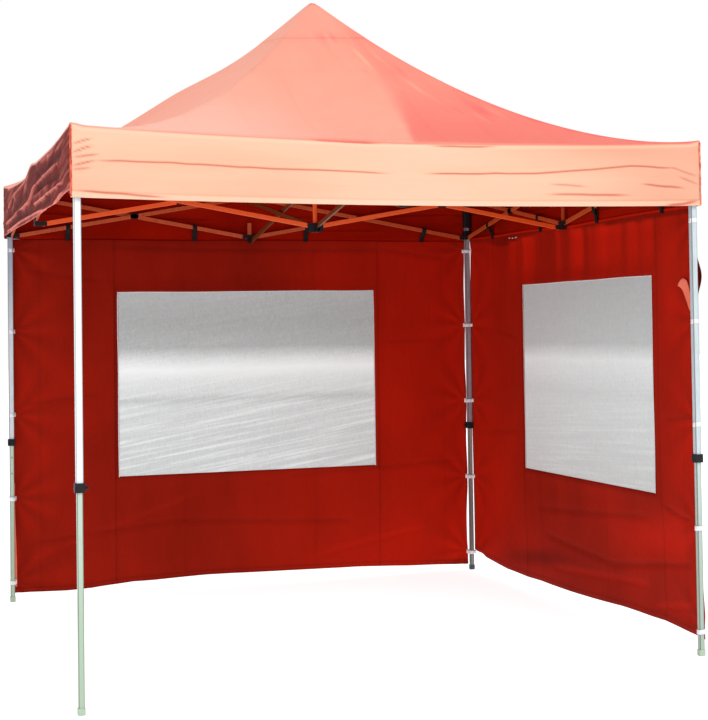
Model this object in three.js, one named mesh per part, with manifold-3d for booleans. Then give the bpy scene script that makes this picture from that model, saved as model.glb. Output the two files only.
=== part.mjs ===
// Pop up canopy: scissor frame on four telescopic legs, four-panel roof and two side walls.
// Millimetres, +Z up. The front is at -Y and the ground is z = 0.
// Every piece is drawn once, for the front side or the front left corner, then turned in quarter turns.
import * as THREE from 'three';
import { mergeVertices } from 'three/addons/utils/BufferGeometryUtils.js';
import Module from 'manifold-3d';

const wasm = await Module();
wasm.setup();

// canopy
const HALF = 1500;          // half width of the roof
const EAVE = 2465;          // roof edge at the corners
const SAG = 24;             // how far the roof edge dips at the middle of a side
const PEAK = 3360;
// power of the hollow roof profile along the hip to each corner, in the order of CORNERS
const HIP_CURVES = [2.0, 1.8, 1.5, 1.25];
const VALANCE = 305;
const CLOTH = 1.2;
const HIP_GAP = 1.7;        // each panel stops this far from the hip line

// frame
const LEG = 1470;           // leg axis from the centre
const UPPER = 2424;         // height of the upper pivots of the sides
const LOWER = 2178;         // height of the lower pivots of the sides
const ARM_DROP = 26;        // the cross arms hang this far below the sides
const BAR_H = 24;
const BAR_T = 12;
const BAR_WALL = 0.8;
const BAR_END = 12;         // bar length beyond its end pivots
const PLANE = 7;            // the two bars of an X lie this far either side of the truss plane
const MID_REACH = 28;       // mid joint centre to the side bar pivots
const LEG_REACH = 45;       // leg axis to the side bar pivots
const HUB_REACH = 36;       // mast axis to the arm pivots
const ARM_REACH = 37;       // mid joint to the arm pivots
const PIN_R = 3.2;
const HOLE_R = 3.9;
const PIVOT_HEAD = 7;

// fork that holds a bar end
const EAR_T = 3;
const EAR_GAP = 0.4;
const EAR_H = 12;
const EAR_LIP = 10;         // ear length beyond the pin
const MID_LIP = 18;         // the same on the mid joints
const STUB_TOP = 2266;      // top of the flat stub that stands on a lower mid joint

// legs
const OUTER = 30;
const INNER = 25;
const TUBE_WALL = 1;
const OUTER_LOW = 935;
const OUTER_TOP = 2446;
const INNER_TOP = 1150;
const COLLAR_Z = 945;
const COLLAR_HALF = 21.5;
const COLLAR_H = 40;
const FOOT_HALF = 15.5;
const FOOT_H = 30;
const ADJUST_HOLES = [760, 855, 945];
const ADJUST_R = 4;
const SLIDER_HALF = 20.5;
const SLIDER_BELOW = 10;    // the slider's body below and above its pivots
const SLIDER_ABOVE = 46;
const SLIDER_CLEAR = 0.5;
const BRACKET_HALF = 20;
const BRACKET_LOW = 2244;   // the corner bracket's sleeve reaches this far down the leg

// mast
const MAST_R = 9;
const MAST_TOP = 3338;
const SLEEVE_R = 11.8;
const SLEEVE_LOW = 2168;
const HUB_HALF = 17.2;

// side walls
const WALL_OFF = 1492.4;    // inner face of a wall from the centre
const WALL_HALF = 1464;
const WALL_LOW = 48;
const WALL_TOP = 2168;
const WALL_SCALLOP = 12;
const STRAP_Z = [115, 610, 1108, 1605, 2105];

const paint = new THREE.MeshStandardMaterial({ color: 0xe9e8e4, roughness: 0.45, metalness: 0.2 });
const bar_paint = new THREE.MeshStandardMaterial({ color: 0xdcd8d2, roughness: 0.45, metalness: 0.2 });
const black = new THREE.MeshStandardMaterial({ color: 0x17171a, roughness: 0.55, metalness: 0 });
const roof_cloth = new THREE.MeshStandardMaterial({ color: 0xf7916f, roughness: 0.8, metalness: 0 });
const wall_cloth = new THREE.MeshStandardMaterial({ color: 0x9c1a10, roughness: 0.8, metalness: 0 });

const canopy = new THREE.Group();

// boolean solids

function solidOf(geometry) {
  const bare = new THREE.BufferGeometry();
  bare.setAttribute('position', geometry.getAttribute('position'));
  if (geometry.index) {
    bare.setIndex(geometry.index);
  }
  const merged = mergeVertices(bare, 1e-4);
  return new wasm.Manifold(new wasm.Mesh({
    numProp: 3,
    vertProperties: Float32Array.from(merged.getAttribute('position').array),
    triVerts: Uint32Array.from(merged.index.array),
  }));
}

function geometryOf(solid) {
  const mesh = solid.getMesh();
  const geometry = new THREE.BufferGeometry();
  geometry.setAttribute('position', new THREE.BufferAttribute(mesh.vertProperties, 3));
  geometry.setIndex(new THREE.BufferAttribute(mesh.triVerts, 1));
  const flat = geometry.toNonIndexed();
  flat.computeVertexNormals();
  return flat;
}

// a box from its low and high corners
function block(low, high) {
  const size = high.map((h, i) => h - low[i]);
  const geometry = new THREE.BoxGeometry(...size);
  geometry.translate(...low.map((l, i) => l + size[i] / 2));
  return solidOf(geometry);
}

// a round rod along x, y or z between two coordinates, centred on the other two
function rod(axis, radius, from, to, centre, sides = 8) {
  const geometry = new THREE.CylinderGeometry(radius, radius, to - from, sides);
  geometry.rotateY(Math.PI / sides);
  if (axis === 'x') {
    geometry.rotateZ(-Math.PI / 2);
  }
  if (axis === 'z') {
    geometry.rotateX(Math.PI / 2);
  }
  const middle = (from + to) / 2;
  const at = { x: [middle, ...centre], y: [centre[0], middle, centre[1]], z: [...centre, middle] }[axis];
  geometry.translate(...at);
  return solidOf(geometry);
}

// outline of a rectangle with cut corners
function cutOutline(kind, halfU, halfV, cut) {
  const outline = new kind();
  outline.moveTo(halfU - cut, -halfV);
  outline.lineTo(halfU, cut - halfV);
  outline.lineTo(halfU, halfV - cut);
  outline.lineTo(halfU - cut, halfV);
  outline.lineTo(cut - halfU, halfV);
  outline.lineTo(-halfU, halfV - cut);
  outline.lineTo(-halfU, cut - halfV);
  outline.lineTo(cut - halfU, -halfV);
  outline.closePath();
  return outline;
}

// rectangular tube along +Z from z = 0
function tube(halfU, halfV, wall, length, cut = 1.6) {
  const shape = cutOutline(THREE.Shape, halfU, halfV, cut);
  shape.holes.push(cutOutline(THREE.Path, halfU - wall, halfV - wall, cut - wall * 0.5));
  return new THREE.ExtrudeGeometry(shape, { depth: length, bevelEnabled: false });
}

// rectangular post along Z with cut corners
function post(half, low, high, cut) {
  const shape = cutOutline(THREE.Shape, half, half, cut);
  const geometry = new THREE.ExtrudeGeometry(shape, { depth: high - low, bevelEnabled: false });
  geometry.translate(0, 0, low);
  return solidOf(geometry);
}

function union(solids) {
  return solids.reduce((whole, next) => whole.add(next));
}

// two ears across y, with their pin, for a bar in the plane y = plane; x runs from root to the pin and beyond
function forkAlongX(root, pinX, plane, pinZ, lip = EAR_LIP) {
  const side = Math.sign(pinX - root);
  const tip = pinX + side * lip;
  const low = Math.min(root, tip);
  const high = Math.max(root, tip);
  const inside = BAR_T / 2 + EAR_GAP;
  const outside = inside + EAR_T;
  return union([
    block([low, plane - outside, pinZ - EAR_H], [high, plane - inside, pinZ + EAR_H]),
    block([low, plane + inside, pinZ - EAR_H], [high, plane + outside, pinZ + EAR_H]),
    rod('y', PIN_R, plane - outside + 1, plane + outside - 1, [pinX, pinZ]),
  ]);
}

// the same across x, for a bar in the plane x = plane
function forkAlongY(root, pinY, plane, pinZ, below = EAR_H) {
  const side = Math.sign(pinY - root);
  const tip = pinY + side * EAR_LIP;
  const low = Math.min(root, tip);
  const high = Math.max(root, tip);
  const inside = BAR_T / 2 + EAR_GAP;
  const outside = inside + EAR_T;
  return union([
    block([plane - outside, low, pinZ - below], [plane - inside, high, pinZ + EAR_H]),
    block([plane + inside, low, pinZ - below], [plane + outside, high, pinZ + EAR_H]),
    rod('x', PIN_R, plane - outside + 1, plane + outside - 1, [pinY, pinZ]),
  ]);
}

// truss bar between two pivots along +X from the first one, thickness across y;
// pivotSide is 1 or -1 where the bar carries the pivot pin of its X on that face, 0 where it has the hole
function trussBar(length, pivotSide) {
  const geometry = tube(BAR_H / 2, BAR_T / 2, BAR_WALL, length + 2 * BAR_END);
  geometry.rotateY(Math.PI / 2);
  geometry.translate(-BAR_END, 0, 0);
  let bar = solidOf(geometry);
  const holes = pivotSide === 0 ? [0, length / 2, length] : [0, length];
  for (const x of holes) {
    bar = bar.subtract(rod('y', HOLE_R, -BAR_T, BAR_T, [x, 0]));
  }
  if (pivotSide !== 0) {
    const near = -BAR_T / 2 - 0.8;
    const far = 2 * PLANE + BAR_T / 2 + 0.6;
    const pin = [near * pivotSide, far * pivotSide].sort((a, b) => a - b);
    const head = [far * pivotSide, (far + 1.6) * pivotSide].sort((a, b) => a - b);
    bar = bar.add(rod('y', PIN_R, pin[0], pin[1], [length / 2, 0]));
    bar = bar.add(rod('y', PIVOT_HEAD, head[0], head[1], [length / 2, 0]));
  }
  return geometryOf(bar);
}

// placing

function addMesh(group, name, geometry, material) {
  const mesh = new THREE.Mesh(geometry, material);
  mesh.name = name;
  group.add(mesh);
  return mesh;
}

const SPAN = LEG - MID_REACH - LEG_REACH;
const RISE = UPPER - LOWER;
const SLOPE = Math.atan2(RISE, SPAN);
const BAR_LENGTH = Math.hypot(SPAN, RISE);
const UPPER_ARM = UPPER - ARM_DROP;
const LOWER_ARM = LOWER - ARM_DROP;

// a bar in the vertical plane through its first pivot, heading outwards and up or down by the truss slope
function placeBar(group, name, geometry, pivot, heading, climb) {
  const mesh = addMesh(group, name, geometry, bar_paint);
  mesh.rotation.order = 'ZYX';
  mesh.rotation.set(0, -SLOPE * climb, heading);
  mesh.position.set(...pivot);
}

function sideBars(group, side) {
  const inner = PLANE - LEG;
  const outer = -PLANE - LEG;
  for (const [hand, heading, dir] of [['left', Math.PI, -1], ['right', 0, 1]]) {
    placeBar(group, `${side}_bar_${hand}_to_slider`, trussBar(BAR_LENGTH, 0),
      [dir * MID_REACH, inner, UPPER], heading, -1);
    placeBar(group, `${side}_bar_${hand}_to_corner`, trussBar(BAR_LENGTH, dir),
      [dir * MID_REACH, outer, LOWER], heading, 1);
  }
}

function armBars(group, side) {
  placeBar(group, `${side}_arm_rising`, trussBar(BAR_LENGTH, -1),
    [PLANE, -HUB_REACH, LOWER_ARM], -Math.PI / 2, 1);
  placeBar(group, `${side}_arm_falling`, trussBar(BAR_LENGTH, 0),
    [-PLANE, -HUB_REACH, UPPER_ARM], -Math.PI / 2, -1);
}

function upperMid(group, side) {
  const plane = PLANE - LEG;
  const core = 8;
  const armY = ARM_REACH - LEG;
  const solid = union([
    block([-core, plane - 9.4, UPPER - 38], [core, plane + 9.4, UPPER + 13]),
    block([-core, plane - 9.4, UPPER - 38], [16.4, 1.5 + plane + 10, UPPER - 18]),
    forkAlongX(0, MID_REACH, plane, UPPER, MID_LIP),
    forkAlongX(0, -MID_REACH, plane, UPPER, MID_LIP),
    forkAlongY(plane + 9, armY, PLANE, UPPER_ARM),
  ]);
  addMesh(group, `${side}_upper_mid_joint`, geometryOf(solid), black);
}

function lowerMid(group, side) {
  const plane = -PLANE - LEG;
  const core = 8;
  const armY = ARM_REACH - LEG;
  const solid = union([
    block([-core, plane - 9.4, LOWER - 38], [core, plane + 9.4, LOWER + 13]),
    block([-16.4, plane - 9.4, LOWER - 38], [core, PLANE - LEG + 11.5, LOWER - 18]),
    forkAlongX(0, MID_REACH, plane, LOWER, MID_LIP),
    forkAlongX(0, -MID_REACH, plane, LOWER, MID_LIP),
    block([-12, plane - 4.5, LOWER + 12], [12, plane + 4.5, STUB_TOP]),
    forkAlongY(PLANE - LEG + 9, armY, -PLANE, LOWER_ARM),
  ]);
  addMesh(group, `${side}_lower_mid_joint`, geometryOf(solid), black);
}

// four forks round the mast axis, for the arms in the planes at the given offset
function hubForks(offset, z, below) {
  const forks = [];
  for (let i = 0; i < 4; i += 1) {
    forks.push(forkAlongY(1 - HUB_HALF, -HUB_REACH, offset, z, below).rotate([0, 0, 90 * i]));
  }
  return union(forks);
}

function upperHub() {
  let hub = post(HUB_HALF, UPPER_ARM - 16, UPPER_ARM + 16, 3);
  hub = hub.add(hubForks(-PLANE, UPPER_ARM, EAR_H));
  hub = hub.add(rod('z', SLEEVE_R, SLEEVE_LOW, UPPER_ARM, [0, 0], 20));
  hub = hub.subtract(rod('z', MAST_R + 0.8, SLEEVE_LOW - 5, UPPER_ARM + 40, [0, 0], 20));
  addMesh(canopy, 'upper_hub', geometryOf(hub), black);
}

function centreMast() {
  let mast = post(HUB_HALF, LOWER_ARM - 36, LOWER_ARM + 13, 3);
  mast = mast.add(hubForks(PLANE, LOWER_ARM, 32));
  mast = mast.add(rod('z', MAST_R, LOWER_ARM, MAST_TOP - 10, [0, 0], 16));
  const tip = new THREE.CylinderGeometry(MAST_R * 0.55, MAST_R, 10, 16);
  tip.rotateY(Math.PI / 16);
  tip.rotateX(Math.PI / 2);
  tip.translate(0, 0, MAST_TOP - 5);
  mast = mast.add(solidOf(tip));
  mast = mast.subtract(rod('z', MAST_R - 1.2, LOWER_ARM - 10, MAST_TOP - 14, [0, 0], 16));
  mast = mast.subtract(rod('z', 6, LOWER_ARM - 40, LOWER_ARM, [0, 0], 16));
  addMesh(canopy, 'centre_mast', geometryOf(mast), paint);
}

// the corner pieces are drawn about the leg axis, with the sides leaving along +X and +Y

function outerLeg(group, corner) {
  const shell = tube(OUTER / 2, OUTER / 2, TUBE_WALL, OUTER_TOP - OUTER_LOW, 2.5);
  shell.translate(0, 0, OUTER_LOW);
  let collar = post(COLLAR_HALF, COLLAR_Z - COLLAR_H / 2, COLLAR_Z + COLLAR_H / 2, 4);
  collar = collar.add(rod('x', 10, COLLAR_HALF - 1, COLLAR_HALF + 4, [0, COLLAR_Z], 12));
  const bore = OUTER / 2 - TUBE_WALL;
  collar = collar.subtract(block([-bore, -bore, 900], [bore, bore, 1000]));
  let leg = solidOf(shell).add(collar);
  leg = leg.subtract(rod('x', 4.6, 8, COLLAR_HALF + 10, [0, COLLAR_Z], 12));
  addMesh(group, `${corner}_outer_leg`, geometryOf(leg), paint);
}

function cornerBracket(group, corner) {
  const fit = OUTER / 2 + 0.3;
  const plane = -PLANE;
  const body = post(BRACKET_HALF, BRACKET_LOW, OUTER_TOP + 5, 3);
  const socket = block([-fit, -fit, BRACKET_LOW - 10], [fit, fit, OUTER_TOP + 0.5]);
  const alongX = forkAlongX(BRACKET_HALF - 1.5, LEG_REACH, plane, UPPER);
  const alongY = forkAlongY(BRACKET_HALF - 1.5, LEG_REACH, plane, UPPER);
  const solid = body.subtract(socket).add(alongX).add(alongY);
  addMesh(group, `${corner}_corner_bracket`, geometryOf(solid), black);
}

function slider(group, corner) {
  const fit = OUTER / 2 + SLIDER_CLEAR;
  const low = LOWER - SLIDER_BELOW;
  const high = LOWER + SLIDER_ABOVE;
  const body = post(SLIDER_HALF, low, high, 3);
  const bore = block([-fit, -fit, low - 5], [fit, fit, high + 5]);
  const alongX = forkAlongX(SLIDER_HALF - 2, LEG_REACH, PLANE, LOWER);
  const alongY = forkAlongY(SLIDER_HALF - 2, LEG_REACH, PLANE, LOWER);
  const solid = body.subtract(bore).add(alongX).add(alongY);
  addMesh(group, `${corner}_slider`, geometryOf(solid), black);
}

function innerLeg(group, corner) {
  const shell = tube(INNER / 2, INNER / 2, TUBE_WALL, INNER_TOP - 12, 2);
  shell.translate(0, 0, 12);
  let leg = solidOf(shell);
  for (const z of ADJUST_HOLES) {
    leg = leg.subtract(rod('x', ADJUST_R, 6, 20, [0, z], 10));
  }
  const cap = post(FOOT_HALF, 3, FOOT_H, 3).add(post(FOOT_HALF - 2, 0, FOOT_H, 3));
  const hollow = INNER / 2 - TUBE_WALL;
  leg = leg.add(cap.subtract(block([-hollow, -hollow, 14], [hollow, hollow, 40])));
  addMesh(group, `${corner}_inner_leg`, geometryOf(leg), paint);
}

function lockPin(group, corner) {
  const tip = INNER / 2 + 0.4;
  const face = COLLAR_HALF + 4;
  const pin = union([
    rod('x', 3.6, tip, face + 8, [0, COLLAR_Z], 12),
    rod('x', 6, face + 0.8, face + 6, [0, COLLAR_Z], 12),
    rod('x', 9, face + 5, face + 12, [0, COLLAR_Z], 12),
  ]);
  addMesh(group, `${corner}_leg_lock_pin`, geometryOf(pin), black);
}

// a thin closed sheet from two matching grids of points
function sheet(outer, inner) {
  const rows = outer.length;
  const cols = outer[0].length;
  const points = [...outer.flat(), ...inner.flat()].flat();
  const faces = [];
  const quad = (a, b, c, d) => faces.push(a, b, c, a, c, d);
  const top = (i, j) => i * cols + j;
  const under = (i, j) => rows * cols + i * cols + j;
  for (let i = 0; i < rows - 1; i += 1) {
    for (let j = 0; j < cols - 1; j += 1) {
      quad(top(i, j), top(i + 1, j), top(i + 1, j + 1), top(i, j + 1));
      quad(under(i, j), under(i, j + 1), under(i + 1, j + 1), under(i + 1, j));
    }
    quad(top(i, 0), under(i, 0), under(i + 1, 0), top(i + 1, 0));
    quad(top(i, cols - 1), top(i + 1, cols - 1), under(i + 1, cols - 1), under(i, cols - 1));
  }
  for (let j = 0; j < cols - 1; j += 1) {
    quad(top(0, j), top(0, j + 1), under(0, j + 1), under(0, j));
    quad(top(rows - 1, j), under(rows - 1, j), under(rows - 1, j + 1), top(rows - 1, j + 1));
  }
  const geometry = new THREE.BufferGeometry();
  geometry.setAttribute('position', new THREE.Float32BufferAttribute(points, 3));
  geometry.setIndex(faces);
  const flat = geometry.toNonIndexed();
  flat.computeVertexNormals();
  return flat;
}

// one roof panel with its valance, on the front side
function roofPanel(group, side, leftCurve, rightCurve) {
  const steps = [0.004, 0.05, 0.12, 0.2, 0.3, 0.42, 0.56, 0.7, 0.85, 1];
  const columns = 8;
  const outer = [];
  const inner = [];
  const dip = (u, t) => SAG * (1 - u * u) * t * t;
  const rise = (t, curve) => (PEAK - EAVE) * (1 - t) ** curve;
  for (const t of steps) {
    const y = -HALF * t;
    const half = HALF * t - HIP_GAP;
    const rowOut = [];
    const rowIn = [];
    for (let j = 0; j <= columns; j += 1) {
      const u = (2 * j) / columns - 1;
      const share = (u + 1) / 2;
      const z = EAVE + rise(t, leftCurve) * (1 - share) + rise(t, rightCurve) * share - dip(u, t);
      rowOut.push([u * half, y, z]);
      rowIn.push([u * half, t === 1 ? y + CLOTH : y, z - CLOTH * 1.25]);
    }
    outer.push(rowOut);
    inner.push(rowIn);
  }
  const edge = outer[outer.length - 1];
  for (const drop of [VALANCE / 2, VALANCE]) {
    outer.push(edge.map(([x, y, z]) => [x, y, z - drop]));
    inner.push(edge.map(([x, y, z]) => [x, y + CLOTH, z - drop]));
  }
  addMesh(group, `canopy_${side}_panel`, sheet(outer, inner), roof_cloth);
}

// side wall on the front side; its edges are drawn in to the legs at the straps
function sideWall(group, side) {
  const edge = [];
  const stops = [WALL_LOW, ...STRAP_Z, WALL_TOP];
  for (let k = 0; k < stops.length - 1; k += 1) {
    const tied = k > 0 && k < stops.length - 2;
    edge.push([WALL_HALF, stops[k]]);
    if (tied) {
      edge.push([WALL_HALF - WALL_SCALLOP, (stops[k] + stops[k + 1]) / 2]);
    }
  }
  edge.push([WALL_HALF, WALL_TOP]);
  const shape = new THREE.Shape();
  shape.moveTo(...edge[0]);
  edge.slice(1).forEach(([x, z]) => shape.lineTo(x, z));
  edge.slice().reverse().forEach(([x, z]) => shape.lineTo(-x, z));
  shape.closePath();
  const geometry = new THREE.ExtrudeGeometry(shape, { depth: CLOTH, bevelEnabled: false });
  geometry.rotateX(Math.PI / 2);
  geometry.translate(0, -WALL_OFF, 0);
  addMesh(group, `side_wall_${side}`, geometry, wall_cloth);
}

// assembly

const SIDES = ['front', 'right', 'back', 'left'];
const CORNERS = ['front_left', 'front_right', 'back_right', 'back_left'];

upperHub();
centreMast();
SIDES.forEach((side, i) => {
  const turned = new THREE.Group();
  turned.rotation.z = (i * Math.PI) / 2;
  canopy.add(turned);
  sideBars(turned, side);
  armBars(turned, side);
  upperMid(turned, side);
  lowerMid(turned, side);
  roofPanel(turned, side, HIP_CURVES[i], HIP_CURVES[(i + 1) % 4]);
  if (side === 'back' || side === 'right') {
    sideWall(turned, side);
  }
  const corner = new THREE.Group();
  corner.position.set(-LEG, -LEG, 0);
  turned.add(corner);
  outerLeg(corner, CORNERS[i]);
  cornerBracket(corner, CORNERS[i]);
  slider(corner, CORNERS[i]);
  innerLeg(corner, CORNERS[i]);
  lockPin(corner, CORNERS[i]);
});

export default canopy;
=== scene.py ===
import math

import bmesh
import bpy
import numpy as np
from mathutils import Matrix, Vector


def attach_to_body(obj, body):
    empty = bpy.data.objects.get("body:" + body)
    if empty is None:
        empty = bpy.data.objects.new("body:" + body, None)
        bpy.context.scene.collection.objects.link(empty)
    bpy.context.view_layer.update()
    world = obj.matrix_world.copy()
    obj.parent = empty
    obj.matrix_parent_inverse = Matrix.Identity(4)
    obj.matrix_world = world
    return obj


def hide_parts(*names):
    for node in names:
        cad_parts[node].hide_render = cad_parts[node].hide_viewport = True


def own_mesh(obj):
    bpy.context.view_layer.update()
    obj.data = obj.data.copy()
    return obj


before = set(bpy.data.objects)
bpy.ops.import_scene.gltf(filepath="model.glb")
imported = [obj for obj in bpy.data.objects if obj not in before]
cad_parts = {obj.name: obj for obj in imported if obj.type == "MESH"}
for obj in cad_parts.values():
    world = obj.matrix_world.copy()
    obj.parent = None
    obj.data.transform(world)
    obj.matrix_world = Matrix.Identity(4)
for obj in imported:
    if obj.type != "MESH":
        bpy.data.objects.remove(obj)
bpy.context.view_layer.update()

bpy.context.scene.view_settings.view_transform = "Standard"

# sizes in metres, as in the CAD model; heights are over the ground, the others from the middle
HALF = 1.500         # the eave line
EAVE = 2.465         # height of the roof's edge
SAG = 0.024          # how far the eave hangs between its corners
PATCH = 0.150        # edge of the peak's patch, as a share of the slope
HIP_SEAM = 0.985     # the seam beside a hip, as a share of the panel's half width
ROOF_FOLDS = (0.30, 0.60, 0.90)  # lines left by packing, on x and as shares of the slope
PEAK = 3.374         # the cloth's own peak, with its patch, a little over the CAD model's
LEG = 1.470          # a leg's axis, on x and y
UPPER = 2.424        # pivots on the corner brackets and upper mid joints
LOWER = 2.178        # pivots on the sliders and lower mid joints
SPAN = 1.397         # from a mid joint's pivots to the corner's
MID = 0.028          # a mid joint's pivots, along the side
PLANE = 0.007        # the two bars of an X lie this far either side of BAR
BAR = 1.470
WALL = 1.4936        # the walls' inner face
WALL_TOP = 2.168
WALL_EDGE = 1.462    # the walls' upright edges
TIED = 1.455         # where the ties pull on them
STRAPS = (0.115, 0.610, 1.108, 1.605, 2.105)  # heights of the leg ties
COLLAR = (0.9249, 0.9651)  # lower and upper end of a leg's black collar
CAP_TOP = 0.031  # top of a foot cap
MAST_SLEEVE_TOP = 2.36  # the painted sleeve under the upper hub
LOWER_HUB_TOP = 2.17
LOWER_JOINT_TOP = 2.192  # the black body of a lower mid joint
SIDES = ("front", "right", "back", "left")
CORNERS = ("front_left", "front_right", "back_right", "back_left")
ARMS = ("arm_rising", "arm_falling")
BARS = tuple(f"bar_{hand}_to_{end}" for hand in ("left", "right") for end in ("slider", "corner"))


# ---- camera

def add_object(name, data):
    obj = bpy.data.objects.new(name, data)
    bpy.context.collection.objects.link(obj)
    return obj


def make_camera():
    """The camera of the main view, a person's eye height up and in front of the left side."""
    data = bpy.data.cameras.new("camera")
    data.sensor_width = 36
    data.lens = 78.125
    data.shift_x = -50 / 720  # shares of the frame's long side
    data.shift_y = -77 / 720
    data.clip_end = 200
    cam = add_object("camera", data)
    yaw, pitch, roll = (math.radians(a) for a in (19.5, 1.6, -0.86))
    ahead = Vector((math.sin(yaw) * math.cos(pitch), math.cos(yaw) * math.cos(pitch), math.sin(pitch)))
    right = Vector((math.cos(yaw), -math.sin(yaw), 0))
    up = right.cross(ahead)
    right, up = (right * math.cos(roll) + up * math.sin(roll), up * math.cos(roll) - right * math.sin(roll))
    turn = Matrix((right, up, -ahead)).transposed().to_4x4()
    cam.matrix_world = Matrix.Translation((-2.368, -8.114, 1.599)) @ turn
    bpy.context.scene.camera = cam


make_camera()


# ---- materials

def new_material(name, roughness, **sockets):
    """A Principled material with its node tree, and object coordinates in metres."""
    m = bpy.data.materials.new(name)
    m.use_nodes = True
    tree = m.node_tree
    shader = tree.nodes["Principled BSDF"]
    shader.inputs["Roughness"].default_value = roughness
    for key, value in sockets.items():
        shader.inputs[key.replace("_", " ")].default_value = value
    coords = tree.nodes.new("ShaderNodeTexCoord")
    return m, tree, shader, coords.outputs["Object"]


def stretched(tree, vector, scale, turn=(0, 0, 0)):
    node = tree.nodes.new("ShaderNodeMapping")
    node.inputs["Scale"].default_value = scale
    node.inputs["Rotation"].default_value = turn
    tree.links.new(vector, node.inputs["Vector"])
    return node.outputs["Vector"]


def noise(tree, vector, scale, detail=3, rough=0.5, warp=0):
    node = tree.nodes.new("ShaderNodeTexNoise")
    node.inputs["Scale"].default_value = scale
    node.inputs["Detail"].default_value = detail
    node.inputs["Roughness"].default_value = rough
    node.inputs["Distortion"].default_value = warp
    tree.links.new(vector, node.inputs["Vector"])
    return node.outputs["Fac"]


def bands(tree, vector, period, axis):
    """Even bands across an axis, period metres apart."""
    node = tree.nodes.new("ShaderNodeTexWave")
    node.bands_direction = axis
    node.inputs["Scale"].default_value = math.pi / (10 * period)
    tree.links.new(vector, node.inputs["Vector"])
    return node.outputs["Fac"]


def feed(tree, socket, value):
    """Sets a socket to a number or a colour, or links another socket to it."""
    if isinstance(value, (int, float)):
        socket.default_value = value
    elif isinstance(value, tuple):
        socket.default_value = (*value, 1)
    else:
        tree.links.new(value, socket)


def math_node(tree, kind, a, b=0.0):
    node = tree.nodes.new("ShaderNodeMath")
    node.operation = kind
    feed(tree, node.inputs[0], a)
    feed(tree, node.inputs[1], b)
    return node.outputs[0]


def ramp(tree, fac, stops):
    """Colour ramp through (place, colour) stops."""
    node = tree.nodes.new("ShaderNodeValToRGB")
    elements = node.color_ramp.elements
    while len(elements) < len(stops):
        elements.new(0.5)
    for element, (place, colour) in zip(elements, stops):
        element.position = place
        element.color = (*colour, 1)
    tree.links.new(fac, node.inputs["Fac"])
    return node.outputs["Color"]


def greys(*stops):
    """Ramp stops from (place, grey level)."""
    return [(place, (level,) * 3) for place, level in stops]


def mix(tree, fac, a, b, kind="MIX"):
    """Mixes two colours, each given as numbers or as a socket."""
    node = tree.nodes.new("ShaderNodeMix")
    node.data_type = "RGBA"
    node.blend_type = kind
    for index, value in ((0, fac), (6, a), (7, b)):
        feed(tree, node.inputs[index], value)
    return node.outputs[2]


def bump(tree, height, distance, under=None):
    node = tree.nodes.new("ShaderNodeBump")
    node.inputs["Distance"].default_value = distance
    tree.links.new(height, node.inputs["Height"])
    if under is not None:
        tree.links.new(under, node.inputs["Normal"])
    return node.outputs["Normal"]


def parts_of(tree, vector):
    """The x, y and z of a vector."""
    node = tree.nodes.new("ShaderNodeSeparateXYZ")
    tree.links.new(vector, node.inputs[0])
    return node.outputs


def step(tree, value, low, high, kind="SMOOTHSTEP"):
    """A value taken from 0 at low to 1 at high."""
    node = tree.nodes.new("ShaderNodeMapRange")
    node.interpolation_type = kind
    node.inputs["From Min"].default_value = low
    node.inputs["From Max"].default_value = high
    tree.links.new(value, node.inputs["Value"])
    return node.outputs[0]


def cloth(name, colour, shade, light, dark, roughness=0.7, crease=(3, 3, 9), depth=0.004, shine=0.1):
    """Coated woven polyester: fine weave, soft creases, a slow change of tone, and the light and dark places
    that the piece's own "tone" values mark: mostly painted highlights and painted shade, with seams and
    random tone."""
    m, tree, shader, vector = new_material(name, roughness, Specular_IOR_Level=shine)
    slow = noise(tree, stretched(tree, vector, crease), 0.7, 4, 0.6, 0.4)
    base = ramp(tree, slow, ((0.35, shade), (0.6, colour)))
    fine = noise(tree, vector, 420, 3, 0.7)
    base = mix(tree, math_node(tree, "MULTIPLY", fine, 0.22), base, shade)
    marked = tree.nodes.new("ShaderNodeAttribute")
    marked.attribute_name = "tone"
    tone = marked.outputs["Fac"]
    # where tone is above 0 the light colour comes in, a painted highlight; where it is below 0 the dark
    # colour, painted shade
    base = mix(tree, math_node(tree, "MAXIMUM", tone, 0.0), base, light)
    base = mix(tree, math_node(tree, "MAXIMUM", math_node(tree, "MULTIPLY", tone, -1.0), 0.0), base, dark)
    tree.links.new(base, shader.inputs["Base Color"])
    folds = noise(tree, stretched(tree, vector, crease, (0.1, 0.2, 0)), 2.4, 5, 0.55, 0.8)
    weave = math_node(tree, "MULTIPLY", bands(tree, vector, 0.0016, "X"), bands(tree, vector, 0.0016, "Z"))
    normal = bump(tree, folds, depth)
    normal = bump(tree, weave, 0.00012, normal)
    tree.links.new(normal, shader.inputs["Normal"])
    return m


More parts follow.
